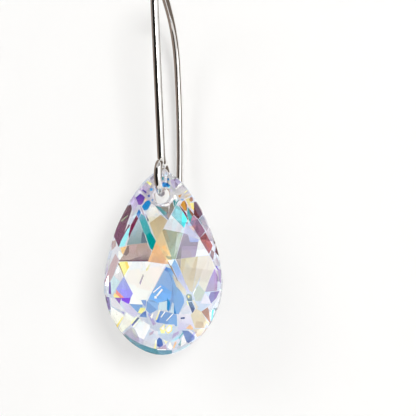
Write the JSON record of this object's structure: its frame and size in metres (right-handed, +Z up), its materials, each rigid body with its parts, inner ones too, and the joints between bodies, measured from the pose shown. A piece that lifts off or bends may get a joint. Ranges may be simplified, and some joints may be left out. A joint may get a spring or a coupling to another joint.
{
  "type": "teardrop earring",
  "caption": "Teardrop drop earring: a faceted pear crystal hangs by its drilled hole in the turned loop of a long bent ear wire.",
  "frame": {"origin": "on the wire's centreline at the top of its upper bend, where the earring hangs in the ear", "axes": "+Z up, -Y the way the crystal's face looks, the ear wire bends in the plane X = 0"},
  "size_m": [0.0144, 0.0127, 0.0455],
  "materials": {
    "ear_wire": "polished silver wire",
    "crystal_drop": "clear cut crystal with an iridescent coating"
  },
  "bodies": {
    "wire": {"ear_wire": "ear_wire"},
    "drop": {"crystal_drop": "crystal_drop"}
  },
  "joints": [
    {"name": "drop_swing", "type": "hinge", "parent": "wire", "child": "drop", "pos_m": [0, 0.00032, -0.02585], "axis": [0, 1, 0], "range_deg": [-70, 70]}
  ]
}
